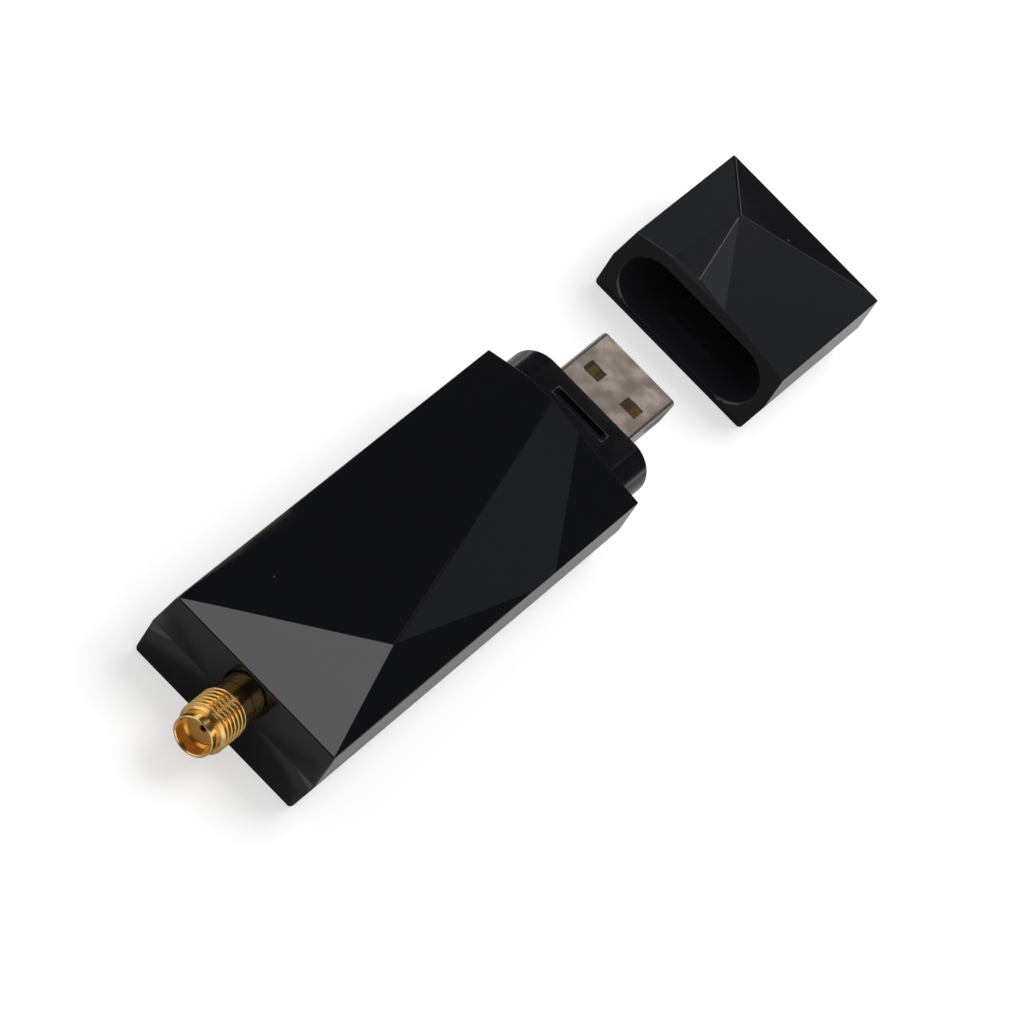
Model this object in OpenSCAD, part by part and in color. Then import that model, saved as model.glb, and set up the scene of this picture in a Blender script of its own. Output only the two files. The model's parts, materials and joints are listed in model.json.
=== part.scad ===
// USB Wi-Fi adapter with a faceted two-part housing, a screw-on antenna
// connector, a USB-A plug and a pull-off cap that lies in front of the plug.
// X runs along the adapter from the antenna end to the plug end, Z is up.
// The origin is on the base plane, under the middle of the housing. The modules
// draw from the antenna end, and placed() moves each piece to the origin.

/* [Housing] */
// Length of the housing from the antenna end to the plug end
body_l = 65.6; // [63:0.2:80]
// Width of the housing across its base and across its upper rim
base_w = 25; // [25:0.2:32]
// How far each side leans out between the base or rim and the parting line
side_flare = 0.45; // [0.2:0.05:0.9]
// Height of the parting line and of both connectors' common axis
seam_z = 5.1; // [4.9:0.1:6]
// Height of the upper rim, where the facets start
rim_z = 10.3; // [10.2:0.1:13]
// Wall thickness of the covers' sides and ends
wall = 1.5; // [1.3:0.1:2]
// Thickness of the bottom cover's floor
floor_t = 1.4; // [1:0.1:1.6]
// Thickness of the faceted roof
roof_t = 1.4; // [1:0.1:1.6]
// Size of the small bevel along the base's two long edges
base_bevel = 0.4; // [0.2:0.1:0.8]
// Height of the inner lip that stands above the parting line
lip_h = 0.8; // [0.5:0.1:1.2]
// Thickness of that lip
lip_t = 0.6; // [0.4:0.1:0.8]
// Clearance between the lip and the top cover's rebate
lip_gap = 0.1; // [0.05:0.05:0.2]
// Length of each snap bead along the lip
snap_l = 6; // [4:0.5:10]
// How far a snap bead stands out from the lip
snap_out = 0.25; // [0.15:0.05:0.3]
// Distance of the snap beads' middle from each end of the housing
snap_x = 18; // [12:0.5:24]
// Thickness of the two cross ribs that carry the board's ends
rest_t = 1.2; // [0.8:0.1:1.6]

/* [Facets] */
// Height of the roof's two peaks
peak_z = 12; // [11.6:0.1:15]
// Distance of the rear peak from the antenna end
rear_peak_x = 17.8; // [12:0.2:24]
// Distance of the rear peak from the centre line, towards -Y
rear_peak_y = 7.2; // [4:0.2:9]
// Distance of the front peak beyond the plug end, on the cap
front_peak_x = 13.8; // [10:0.2:16]
// Distance of the front peak from the centre line, towards +Y
front_peak_y = 6; // [3:0.2:8]
// Where the slanting facet's foot is centred on the rim, from the antenna end
foot_x = 44.2; // [36:0.2:50]
// Length of that foot along the rim
foot_l = 5; // [1:0.2:8]

/* [Plug collar] */
// How far the round-ended collar behind the plug stands in from the base at each side
collar_in = 1.7; // [1.5:0.1:2.5]
// Height of the collar
collar_h = 8.1; // [7.7:0.1:8.2]
// Length of the collar in front of the housing
collar_l = 8.2; // [7.4:0.1:10]
// Radius of the collar's rounded front edge
collar_round = 0.5; // [0.2:0.1:1]
// Thickness of the collar's front wall, which carries the plug shell
collar_front_t = 3; // [2:0.2:4]
// How far the collar's neck, which passes the housing's end wall, stands in at each side
neck_in = 1.8; // [1.4:0.1:2.2]
// Height of that neck
neck_h = 6.2; // [5.8:0.1:6.4]
// How far the flange behind the end wall stands out from the neck at each side
flange_out = 1.2; // [0.6:0.1:1.6]
// Thickness of that flange
flange_t = 1.5; // [1:0.1:2]
// Width of the hollow in the collar behind its front wall
hollow_w = 14; // [13.2:0.2:15]
// Height of that hollow
hollow_h = 5.2; // [4.9:0.1:5.3]
// Distance of the snap recess's middle from the housing
recess_x = 4.7; // [3:0.1:5.5]
// Length of the snap recess across the collar
recess_w = 8.3; // [6:0.1:10]
// Width of the snap recess along the collar
recess_l = 1.6; // [1.2:0.1:2.4]
// Depth of the snap recess
recess_d = 0.5; // [0.3:0.1:0.8]

/* [USB plug] */
// Width of the plug shell
plug_w = 12; // [11.9:0.05:12.1]
// Height of the plug shell
plug_h = 4.5; // [4.4:0.05:4.6]
// Sheet thickness of the shell
shell_t = 0.3; // [0.25:0.05:0.4]
// Outer corner radius of the shell
shell_r = 0.6; // [0.4:0.05:0.9]
// Width of the seam where the folded sheet meets, under the shell
seam_slit = 0.1; // [0.05:0.05:0.2]
// Length of the shell in front of the collar
plug_l = 12; // [11.5:0.1:13]
// Full length of the shell
shell_l = 18.75; // [18:0.05:19.5]
// Distance from the plug's tip to the far edge of the latch windows
window_x = 5.16; // [5:0.02:5.3]
// Length of a latch window along the plug
window_l = 2.2; // [2:0.1:2.6]
// Width of a latch window
window_w = 2.5; // [2.2:0.1:2.8]
// Distance of a latch window's middle from the plug's centre line
window_y = 3.07; // [2.8:0.01:3.3]
// Length of the insulator's rear block
block_l = 5; // [4:0.2:6]
// Size of the bevel along the front edge of the insulator's tongue
tongue_bevel = 0.5; // [0.2:0.1:0.8]
// Width of one contact strip
contact_w = 1; // [0.8:0.1:1.2]
// Thickness of one contact strip
contact_t = 0.3; // [0.2:0.05:0.4]
// Distance from the plug's tip to the two outer contacts
outer_contact_x = 1.2; // [1:0.1:1.6]
// Distance from the plug's tip to the two inner contacts
inner_contact_x = 2.2; // [2:0.1:2.8]
// Distance of the outer contacts from the centre line
outer_contact_y = 3.5; // [3.4:0.05:3.6]
// Distance of the inner contacts from the centre line
inner_contact_y = 1; // [0.9:0.05:1.1]

/* [Antenna connector] */
// Radius over the thread of the connector's barrel
thread_r = 3.175; // [3.1:0.005:3.25]
// Radius of the plain neck behind the thread, which passes the housing's end wall
shank_r = 2.75; // [2.6:0.01:2.85]
// Length of the connector in front of the housing
barrel_l = 8.2; // [7:0.1:12]
// Length of the plain front lip
lip_ring_l = 0.8; // [0.5:0.1:1.2]
// Radius of the front lip
lip_ring_r = 2.62; // [2.5:0.02:2.9]
// Length of the groove between lip and thread
groove_l = 0.7; // [0.5:0.1:1.2]
// Radius in the groove
groove_r = 2.45; // [2.36:0.01:2.5]
// Size of the bevel at each end of the thread
thread_bevel = 0.4; // [0.2:0.05:0.6]
// Length of the plain neck between the thread and the housing
neck_l = 1.9; // [1:0.1:2.5]
// Width of the flat milled along the top of the thread
flat_w = 1.7; // [1:0.1:2.4]
// Radius of the socket bore
socket_r = 2.3; // [2.25:0.01:2.32]
// Depth of the socket bore
socket_d = 2; // [1.5:0.1:3]
// Size of the bevel round the socket's mouth
socket_bevel = 0.12; // [0.05:0.01:0.15]
// How far the insulator bead is set back behind the socket's bottom
bead_set = 0.2; // [0.15:0.05:0.5]
// Radius of the insulator bead
bead_r = 2.05; // [1.9:0.01:2.1]
// Side of the square flange inside the housing
square_s = 6.4; // [6:0.1:6.6]
// Thickness of that flange
square_t = 2; // [1.5:0.1:2.4]
// Length of the four legs that grip the board
leg_l = 4.2; // [3:0.1:5]
// Side of each leg's square section
leg_s = 0.9; // [0.7:0.1:1.1]
// Distance of the legs' middle from the centre line
leg_y = 2.7; // [2.5:0.05:2.7]
// Radius of the centre contact
contact_r = 0.64; // [0.5:0.01:0.7]
// Radius of the hole in the contact's front end
contact_bore_r = 0.42; // [0.35:0.01:0.45]
// Depth of that hole
contact_bore_l = 2.5; // [1.5:0.1:4]
// Radius of the contact's tail, which lies on the board
tail_r = 0.38; // [0.3:0.01:0.45]
// Length of that tail
tail_l = 2.6; // [1.6:0.1:4]

/* [Circuit board] */
// Clearance between the board's long edges and the covers' sides
board_gap = 0.4; // [0.2:0.1:1]
// Thickness of the board
board_t = 1; // [0.8:0.1:1.2]
// Distance of the post holes' middle from the board's long edges
post_inset = 1.4; // [1.4:0.1:2]
// Distance of the rear posts from the board's antenna end
rear_post_x = 9; // [7:0.5:11]
// Distance of the front posts from the board's shoulders at the plug end
front_post_x = 6; // [4:0.5:8]
// Radius of the four posts that hold the board
post_r = 1.5; // [1.3:0.1:1.6]
// Radius of the pins on the lower posts
pin_r = 0.7; // [0.5:0.05:0.9]
// Side of the square Wi-Fi chip under the shield can
chip_s = 6; // [5:0.5:8]
// Height of that chip
chip_h = 0.9; // [0.7:0.05:1]
// Length of the shield can
can_l = 15; // [12:0.5:16]
// Width of the shield can
can_w = 13; // [11:0.5:14]
// Height of the shield can
can_h = 1.9; // [1.5:0.1:2.4]
// Sheet thickness of the shield can
can_t = 0.2; // [0.15:0.05:0.3]
// Distance from the board's antenna end to the shield can
can_x = 15; // [14:0.5:18]
// Radius of the vent holes in the can
vent_r = 0.5; // [0.3:0.1:0.7]
// Pitch of the grid on which the small parts are laid out
pitch = 1.6; // [1.5:0.05:1.7]

/* [Cap] */
// Length of the cap
cap_l = 23.2; // [23:0.2:30]
// How far the cap lies from its closed place
cap_off = 33.6; // [24:0.2:60]
// Clearance between collar and cap, all round
cap_fit = 0.25; // [0.2:0.05:0.4]
// Size of the bevel round the pocket's mouth
mouth_bevel = 0.25; // [0.1:0.05:0.4]
// Room left in front of the plug's tip when the cap is closed
tip_gap = 0.4; // [0.3:0.1:0.6]
// Height of the snap ribs inside the cap
rib_h = 0.17; // [0.1:0.01:0.18]
// Width of the snap ribs along the cap
rib_l = 0.9; // [0.6:0.1:1.1]
// Length of the snap ribs across the cap
rib_w = 7.4; // [5:0.1:9]

/* [Hidden] */
$fn = 64;

slip = 0.05;              // running clearance of pieces pushed into each other
over = 1;                 // how far a cutting tool reaches past a face
corner_r = 1;             // corner radius of the collar's neck and of its flange
hollow_r = 0.5;           // corner radius of the collar's hollow
total_l = body_l + cap_l; // length of the closed adapter without the connector
half_w = base_w / 2;
seam_half = half_w + side_flare;
collar_w = base_w - 2 * collar_in;
neck_w = collar_w - 2 * neck_in;
flange_x0 = body_l - wall - flange_t;

solder_t = 0.02;          // solder between the contact's tail and the board
board_top = seam_z - tail_r - solder_t;
board_bottom = board_top - board_t;
board_x0 = wall + square_t;
board_x1 = flange_x0 - board_gap;
board_w = 2 * (half_w - wall - board_gap);
bead_x0 = -barrel_l + socket_d + bead_set;

plug_x0 = body_l + collar_l;
plug_x1 = plug_x0 + plug_l;
shell_x0 = plug_x1 - shell_l;
inner_w = plug_w - 2 * shell_t;
inner_h = plug_h - 2 * shell_t;
tongue_w = inner_w - 2 * slip;
groove_d = 0.2;           // depth of the contacts' grooves in the plug's tongue
tongue_top = board_top + groove_d;
tongue_x1 = plug_x1 - 0.4;
strip_l = 2;              // length of the contact strips on the board
strip_x0 = shell_x0 - strip_l;
shell_leg_l = 2.5;        // length of the shell's side legs
shell_leg_h = board_t + 0.6;

cap_x0 = body_l + cap_off;
pocket_w = collar_w + 2 * cap_fit;
pocket_h = collar_h + 2 * cap_fit;
pocket_d = collar_l + plug_l + tip_gap;
rib_root = 0.5;           // how deep the snap ribs reach into the cap's wall

post_y = board_w / 2 - post_inset;
posts = [for (x = [board_x0 + rear_post_x, board_x1 - front_post_x], side = [-1, 1]) [x, side * post_y]];
post_drop = 0.1;          // how far the posts' pins end below the board's top
leg_clear = 0.3;          // room between the connector's legs and the rear rib

// Packages of the small parts: length, width and height
sot23 = [2.9, 1.6, 1.1];
crystal_3225 = [3.2, 2.5, 0.75];
coil_1008 = [2.5, 2, 1.2];
chip_0805 = [2, 1.25, 0.7];
chip_0603 = [1.6, 0.8, 0.8];
chip_0402 = [1, 0.5, 0.35];

// Moves a piece from the antenna end's frame to the origin.
module placed() {
    translate([-body_l / 2, 0, 0]) children();
}

// Half width of the housing at height z, on the upper side of the parting line.
function upper_half(z) = half_w + side_flare * (rim_z - z) / (rim_z - seam_z);

// Height at the place p of the plane through the three points a, b and c.
function plane_z(p, a, b, c) =
    let (n = cross(b - a, c - a))
    a.z - (n.x * (p.x - a.x) + n.y * (p.y - a.y)) / n.z;

// The faceted upper block of the closed adapter, from the antenna end to the cap's far end.
// inset moves the sides inward, drop lowers the roof, and z0 is the flat underside.
module faceted_block(inset, drop, z0) {
    y_low = upper_half(z0) - inset;
    y_rim = half_w - inset;
    z_rim = rim_z - drop;
    rear = [rear_peak_x, -rear_peak_y, peak_z - drop];
    front = [body_l + front_peak_x, front_peak_y, peak_z - drop];
    foot = [foot_x, -y_rim, z_rim];
    foot_a = [foot_x - foot_l / 2, -y_rim];
    foot_b = [foot_x + foot_l / 2, -y_rim];
    points = [
        [0, -y_low, z0], [total_l, -y_low, z0], [total_l, y_low, z0], [0, y_low, z0],
        [0, -y_rim, z_rim], [total_l, -y_rim, z_rim], [total_l, y_rim, z_rim], [0, y_rim, z_rim],
        rear, front,
        [foot_a.x, foot_a.y, plane_z(foot_a, rear, front, foot)],
        [foot_b.x, foot_b.y, plane_z(foot_b, rear, front, foot)]
    ];
    faces = [
        [0, 1, 2, 3],
        [0, 3, 7, 4], [1, 5, 6, 2], [2, 6, 7, 3],
        [0, 4, 10], [0, 10, 11], [0, 11, 5], [0, 5, 1],
        [4, 7, 8], [4, 8, 10], [10, 8, 11], [8, 9, 11],
        [11, 9, 5], [5, 9, 6], [7, 6, 9], [7, 9, 8]
    ];
    polyhedron(points = points, faces = faces, convexity = 4);
}

// A slab that keeps only what lies between x0 and x1.
module between(x0, x1) {
    intersection() {
        children();
        translate([x0, -base_w, -over]) cube([x1 - x0, 2 * base_w, peak_z + 2 * over]);
    }
}

// Runs a profile drawn in the plane across the adapter (X is Y, Y is Z) from x0 to x1.
module along(x0, x1) {
    translate([x0, 0, 0]) rotate([90, 0, 90]) linear_extrude(height = x1 - x0) children();
}

// Cross-section of the lower half, with its bevelled base edges.
module lower_profile() {
    polygon([[-half_w + base_bevel, 0], [half_w - base_bevel, 0], [half_w, base_bevel],
             [seam_half, seam_z], [-seam_half, seam_z], [-half_w, base_bevel]]);
}

// Cross-section of the room in the bottom cover.
module room_profile() {
    rise = seam_z + over;
    flare = side_flare * rise / seam_z;
    polygon([[-half_w + wall, floor_t], [half_w - wall, floor_t],
             [half_w - wall + flare, rise], [-half_w + wall - flare, rise]]);
}

// Rectangle with round corners, centred on the connectors' axis.
module round_rect(w, h, r) {
    translate([0, seam_z]) {
        square([w - 2 * r, h], center = true);
        square([w, h - 2 * r], center = true);
        for (a = [-1, 1], b = [-1, 1]) translate([a * (w / 2 - r), b * (h / 2 - r)]) circle(r = r);
    }
}

// Round bar along X, centred on the connectors' axis.
module bar(x0, x1, r) {
    translate([x0, 0, seam_z]) rotate([0, 90, 0]) cylinder(r = r, h = x1 - x0);
}

// Round bar along X whose radius goes from r0 at x0 to r1 at x1.
module taper(x0, r0, x1, r1) {
    translate([x0, 0, seam_z]) rotate([0, 90, 0]) cylinder(r1 = r0, r2 = r1, h = x1 - x0);
}

// Box between two corners.
module box(low, high) {
    translate(low) cube(high - low);
}

// Round-ended body of width w and height h from x0 on. Its child is half of the side view:
// X is the distance from the axis, Y runs along the adapter. It turns round both ends.
module round_ended(x0, w, h) {
    span = w - h;
    translate([x0, 0, seam_z]) {
        for (side = [0, 1]) mirror([0, side, 0])
            translate([0, span / 2, 0]) rotate([0, 90, 0]) rotate_extrude(angle = 180) children();
        translate([0, span / 2, 0]) rotate([90, 0, 0]) linear_extrude(height = span)
            for (side = [0, 1]) mirror([0, side]) mirror([1, -1]) children();
    }
}

// The lip that stands in the parting line: grow widens it, rise lifts its top.
module seam_lip(grow, rise) {
    y_in = seam_half - wall;
    difference() {
        box([wall - lip_t - grow, -y_in - lip_t - grow, seam_z - over],
            [body_l - wall + lip_t + grow, y_in + lip_t + grow, seam_z + lip_h + rise]);
        box([wall, -y_in, seam_z - 2 * over], [body_l - wall, y_in, seam_z + lip_h + rise + over]);
    }
}

// Snap beads on the lip's two long sides, each with a sloping top and underside.
module snap_beads(grow) {
    y_face = seam_half - wall + lip_t;
    z_mid = seam_z + lip_h / 2;
    half = 0.3 * lip_h + grow;
    length = snap_l + 2 * grow;
    for (side = [0, 1], x = [snap_x, body_l - snap_x])
        mirror([0, side, 0]) along(x - length / 2, x + length / 2)
            polygon([[y_face - lip_t / 2, z_mid - half], [y_face, z_mid - half],
                     [y_face + snap_out + grow, z_mid],
                     [y_face, z_mid + half], [y_face - lip_t / 2, z_mid + half]]);
}

// Openings in the two end walls: the connector's barrel and the collar's neck.
module end_openings() {
    bar(-over, wall + over, shank_r + slip);
    along(body_l - wall - over, body_l + over) round_rect(neck_w + 2 * slip, neck_h + 2 * slip, corner_r);
}

module top_cover() color("#1c1d20") placed() {
    difference() {
        between(0, body_l) faceted_block(0, 0, seam_z);
        between(wall, body_l - wall) faceted_block(wall, roof_t, seam_z - over / 2);
        seam_lip(lip_gap, lip_gap);
        snap_beads(lip_gap);
        end_openings();
    }
    // Posts that press the board down on the lower posts
    intersection() {
        for (p = posts) translate([p.x, p.y, board_top]) cylinder(r = post_r, h = peak_z);
        faceted_block(wall / 2, roof_t / 2, board_top - over);
    }
}

module bottom_cover() color("#1a1b1e") placed() {
    difference() {
        union() {
            along(0, body_l) lower_profile();
            seam_lip(0, 0);
        }
        between(wall, body_l - wall) along(0, body_l) room_profile();
        end_openings();
    }
    snap_beads(0);
    rest_rib(board_x0 + slip, leg_y + leg_s / 2 + leg_clear);
    rest_rib(flange_x0 - slip - rest_t, 0);
    for (p = posts) translate([p.x, p.y, 0]) {
        translate([0, 0, floor_t - slip]) cylinder(r = post_r, h = board_bottom - floor_t + slip);
        translate([0, 0, floor_t]) cylinder(r = pin_r, h = board_top - post_drop - floor_t);
    }
}

// Rib across the floor from x0 on, up to the board, with its middle left open over 2 * open.
module rest_rib(x0, open) {
    for (side = [0, 1]) mirror([0, side, 0])
        box([x0, open, floor_t - slip], [x0 + rest_t, half_w - wall / 2, board_bottom]);
}

// Half of the collar's side view, with its rounded front edge.
module collar_outline() {
    square([collar_h / 2, collar_l - collar_round]);
    square([collar_h / 2 - collar_round, collar_l]);
    translate([collar_h / 2 - collar_round, collar_l - collar_round]) circle(r = collar_round);
}

module plug_collar() color("#232428") placed() {
    difference() {
        union() {
            round_ended(body_l, collar_w, collar_h) collar_outline();
            along(body_l - wall - slip, body_l + slip) round_rect(neck_w, neck_h, corner_r);
            along(flange_x0, body_l - wall) round_rect(neck_w + 2 * flange_out, neck_h, corner_r);
        }
        along(flange_x0 - over, plug_x0 - collar_front_t) round_rect(hollow_w, hollow_h, hollow_r);
        along(plug_x0 - collar_front_t - over, plug_x0 + over)
            round_rect(plug_w + 2 * slip, plug_h + 2 * slip, shell_r + slip);
        for (side = [-1, 1]) snap_recess(side);
    }
}

// Shallow rounded slot across the collar's top (side 1) or underside (side -1).
module snap_recess(side) {
    z_face = seam_z + side * collar_h / 2;
    span = recess_w - recess_l;
    translate([body_l + recess_x, 0, z_face - recess_d]) {
        translate([-recess_l / 2, -span / 2, 0]) cube([recess_l, span, 2 * recess_d]);
        for (end = [-1, 1]) translate([0, end * span / 2, 0]) cylinder(d = recess_l, h = 2 * recess_d);
    }
}

module usb_shell() color("#b9b2ab") placed() {
    difference() {
        along(shell_x0, plug_x1) round_rect(plug_w, plug_h, shell_r);
        along(shell_x0 - over, plug_x1 + over) round_rect(inner_w, inner_h, shell_r - shell_t);
        for (side = [-1, 1]) translate([plug_x1 - window_x - window_l, side * window_y - window_w / 2, 0])
            cube([window_l, window_w, 3 * seam_z]);
        box([shell_x0 - over, -seam_slit / 2, 0], [plug_x1 + over, seam_slit / 2, seam_z]);
    }
    // Side legs that hug the board's tongue
    for (side = [-1, 1])
        translate([shell_x0 - shell_leg_l, side * (plug_w - shell_t) / 2 - shell_t / 2,
                   board_top - board_t / 2 - shell_leg_h / 2])
            cube([shell_leg_l + slip, shell_t, shell_leg_h]);
}

// One contact strip at the place y, from the board to x_front.
module contact_strip(y, x_front) {
    translate([strip_x0, y - contact_w / 2, board_top]) cube([x_front - strip_x0, contact_w, contact_t]);
}

// All four strips in their places.
module contact_row() {
    for (side = [-1, 1]) {
        contact_strip(side * outer_contact_y, plug_x1 - outer_contact_x);
        contact_strip(side * inner_contact_y, plug_x1 - inner_contact_x);
    }
}

// Side view of the room above the insulator's tongue, with the bevel of the tongue's front edge.
module above_tongue() {
    polygon([[shell_x0 + block_l, tongue_top], [tongue_x1 - tongue_bevel, tongue_top],
             [tongue_x1 + over, tongue_top - tongue_bevel - over], [tongue_x1 + over, seam_z + plug_h],
             [shell_x0 + block_l, seam_z + plug_h]]);
}

module usb_insulator() color("#26272b") placed() {
    difference() {
        along(shell_x0, tongue_x1) round_rect(tongue_w, inner_h - 2 * slip, shell_r - shell_t);
        translate([0, plug_w / 2, 0]) rotate([90, 0, 0]) linear_extrude(height = plug_w) above_tongue();
        contact_row();
    }
}

module usb_contacts() color("#d6a640") placed() contact_row();

module circuit_board() color("#1d5c3a") placed() {
    difference() {
        union() {
            box([board_x0, -board_w / 2, board_bottom], [board_x1, board_w / 2, board_top]);
            box([board_x1 - over, -inner_w / 2, board_bottom], [shell_x0, inner_w / 2, board_top]);
        }
        for (p = posts) translate([p.x, p.y, board_bottom - over])
            cylinder(r = pin_r + slip, h = board_t + 2 * over);
    }
}

// Puts a piece on the board: x from the board's antenna end, y from the centre line.
module on_board(x, y) {
    translate([board_x0 + x, y, board_top]) children();
}

// Puts a piece on the grid of small parts that starts at the can's end.
module on_grid(i, j) {
    on_board(can_x + can_l + i * pitch, j * pitch) children();
}

// Closed block that stands on its underside, centred on its place.
module block(l, w, h) {
    translate([-l / 2, -w / 2, 0]) cube([l, w, h]);
}

module shield_can() color("#c9cbcd") placed() on_board(can_x + can_l / 2, 0) {
    difference() {
        block(can_l, can_w, can_h);
        translate([0, 0, -over]) block(can_l - 2 * can_t, can_w - 2 * can_t, can_h - can_t + over);
        for (i = [-2:2], j = [-1:1]) translate([i * can_l / 6, j * can_w / 4, 0])
            cylinder(r = vent_r, h = 2 * can_h, $fn = 24);
    }
}

module wifi_chip() color("#2b2b2d") placed()
    on_board(can_x + can_l / 2, 0) block(chip_s, chip_s, chip_h);

module crystal() color("#d8d6cf") placed() on_grid(2, 3) {
    lid_t = 0.2;
    lid_in = 0.4;
    foot = crystal_3225;
    block(foot.x, foot.y, foot.z - lid_t);
    translate([0, 0, foot.z - lid_t]) block(foot.x - lid_in, foot.y - lid_in, lid_t);
}

// Small moulded package, with a row of flat legs along each long side.
module small_outline(size, near_row, far_row) {
    leg = [0.4, 0.7, 0.18];
    leg_root = 0.1;
    lift = 0.1;
    translate([0, 0, lift]) block(size.x, size.y, size.z - lift);
    for (x = near_row) translate([x - leg.x / 2, -size.y / 2 - leg.y + leg_root, 0]) cube(leg);
    for (x = far_row) translate([x - leg.x / 2, size.y / 2 - leg_root, 0]) cube(leg);
}

module regulator() color("#2a2a2c") placed()
    on_grid(5, -3) small_outline(sot23, [-0.95, 0, 0.95], [-0.95, 0.95]);

module esd_protector() color("#2a2a2c") placed()
    on_board(strip_x0 - board_x0 - 5 * pitch, 0) small_outline(sot23, [-0.95, 0, 0.95], [-0.95, 0, 0.95]);

// Two-ended chip part: a body with a slightly larger metal cap at each end.
module chip_part(size) {
    end = size.x / 5;
    cap_t = 0.03;
    block(size.x - 2 * end, size.y - 2 * cap_t, size.z - cap_t);
    for (side = [-1, 1]) translate([side * (size.x - end) / 2, 0, 0]) block(end, size.y, size.z);
}

module inductors() color("#55565a") placed()
    for (j = [0, 2]) on_grid(8, j) block(coil_1008.x, coil_1008.y, coil_1008.z);

module capacitors() color("#b59a76") placed() {
    for (i = [1, 2.5], j = [-4.5, -5.5]) on_grid(i, j) chip_part(chip_0603);
    for (i = [4, 6], j = [1, 3]) on_grid(i, j) chip_part(chip_0603);
}

module resistors() color("#26262a") placed() {
    for (i = [1:4]) on_grid(i, 5) chip_part(chip_0402);
    for (i = [8, 9]) on_grid(i, -5) chip_part(chip_0402);
}

module rf_filter() color("#cfc8b8") placed() on_board(can_x - 2 * pitch, 0) {
    chip_part(chip_0805);
    translate([-1.5 * pitch, 0, 0]) chip_part(chip_0402);
}

module sma_body() color("#d9ab4b") placed() {
    x_ring = -barrel_l + lip_ring_l;
    x_thread = x_ring + groove_l;
    flat_z = sqrt(thread_r * thread_r - flat_w * flat_w / 4);
    difference() {
        union() {
            taper(x_thread, thread_r - thread_bevel, x_thread + thread_bevel, thread_r);
            bar(x_thread + thread_bevel, -neck_l - thread_bevel, thread_r);
            taper(-neck_l - thread_bevel, thread_r, -neck_l, thread_r - thread_bevel);
            bar(-neck_l - slip, wall + slip, shank_r);
            bar(x_ring - slip, x_thread + slip, groove_r);
            bar(-barrel_l, x_ring, lip_ring_r);
            translate([wall + square_t / 2, 0, seam_z - square_s / 2]) block(square_t, square_s, square_s);
            for (side = [-1, 1], z = [board_top, board_bottom - leg_s])
                translate([board_x0 + (leg_l - slip) / 2, side * leg_y, z]) block(leg_l + slip, leg_s, leg_s);
        }
        bar(-barrel_l - over, -barrel_l + socket_d, socket_r);
        taper(-barrel_l - over, socket_r + socket_bevel + over, -barrel_l + socket_bevel, socket_r);
        bar(-barrel_l + socket_d - slip, wall + square_t + over, bead_r);
        // Flat along the top of the thread
        box([x_thread - slip, -thread_r, seam_z + flat_z], [0, thread_r, seam_z + 2 * thread_r]);
    }
}

module sma_insulator() color("#e9e6df") placed() {
    difference() {
        bar(bead_x0, wall + square_t, bead_r);
        bar(bead_x0 - over, wall + square_t + over, contact_r);
    }
}

module sma_contact() color("#dcb257") placed() {
    difference() {
        union() {
            bar(bead_x0, wall + square_t, contact_r);
            bar(wall + square_t - slip, wall + square_t + tail_l, tail_r);
        }
        bar(bead_x0 - over, bead_x0 + contact_bore_l, contact_bore_r);
    }
}

// Half of the pocket's side view, with the bevel of its mouth.
module pocket_outline() {
    r = pocket_h / 2;
    polygon([[0, -over], [r + mouth_bevel + over, -over], [r, mouth_bevel], [r, pocket_d], [0, pocket_d]]);
}

module cap() color("#1e1f23") placed() translate([cap_off, 0, 0]) {
    difference() {
        union() {
            along(body_l, total_l) lower_profile();
            between(body_l, total_l) faceted_block(0, 0, seam_z);
        }
        round_ended(body_l, pocket_w, pocket_h) pocket_outline();
    }
    // Snap ribs that drop into the collar's recesses
    for (side = [-1, 1]) snap_rib(side);
}

// Rib across the pocket's top (side 1) or floor (side -1), rooted in the wall.
module snap_rib(side) {
    z_face = seam_z + side * pocket_h / 2;
    z_mid = z_face - side * (rib_h - rib_root) / 2;
    translate([body_l + recess_x - rib_l / 2, -rib_w / 2, z_mid - (rib_h + rib_root) / 2])
        cube([rib_l, rib_w, rib_h + rib_root]);
}

top_cover();
bottom_cover();
plug_collar();
usb_shell();
usb_insulator();
usb_contacts();
circuit_board();
shield_can();
wifi_chip();
crystal();
regulator();
inductors();
capacitors();
resistors();
rf_filter();
esd_protector();
sma_body();
sma_insulator();
sma_contact();
cap();
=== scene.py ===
"""Looks of a USB Wi-Fi adapter: a faceted gloss housing, a gold antenna connector and a cap taken off."""
import json
import math

import bmesh
import bpy
import numpy as np
from mathutils import Matrix, Vector


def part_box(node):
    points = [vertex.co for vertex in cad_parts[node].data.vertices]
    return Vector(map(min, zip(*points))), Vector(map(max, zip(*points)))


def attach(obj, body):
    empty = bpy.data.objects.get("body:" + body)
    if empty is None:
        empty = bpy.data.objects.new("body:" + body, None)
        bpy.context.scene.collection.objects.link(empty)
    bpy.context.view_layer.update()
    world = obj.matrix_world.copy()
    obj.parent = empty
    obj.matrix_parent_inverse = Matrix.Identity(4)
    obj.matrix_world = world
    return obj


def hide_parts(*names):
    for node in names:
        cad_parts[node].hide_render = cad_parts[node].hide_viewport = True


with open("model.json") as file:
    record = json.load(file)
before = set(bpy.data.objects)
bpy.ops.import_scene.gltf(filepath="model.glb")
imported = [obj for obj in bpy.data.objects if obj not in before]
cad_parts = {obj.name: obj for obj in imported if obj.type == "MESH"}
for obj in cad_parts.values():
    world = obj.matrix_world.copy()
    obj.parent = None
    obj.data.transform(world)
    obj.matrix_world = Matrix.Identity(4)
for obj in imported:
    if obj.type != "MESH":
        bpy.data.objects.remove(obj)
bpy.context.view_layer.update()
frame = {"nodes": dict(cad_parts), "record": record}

MM = 0.001                          # metres in a millimetre

# ---------------------------------------------------------------- places taken from the frame

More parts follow.
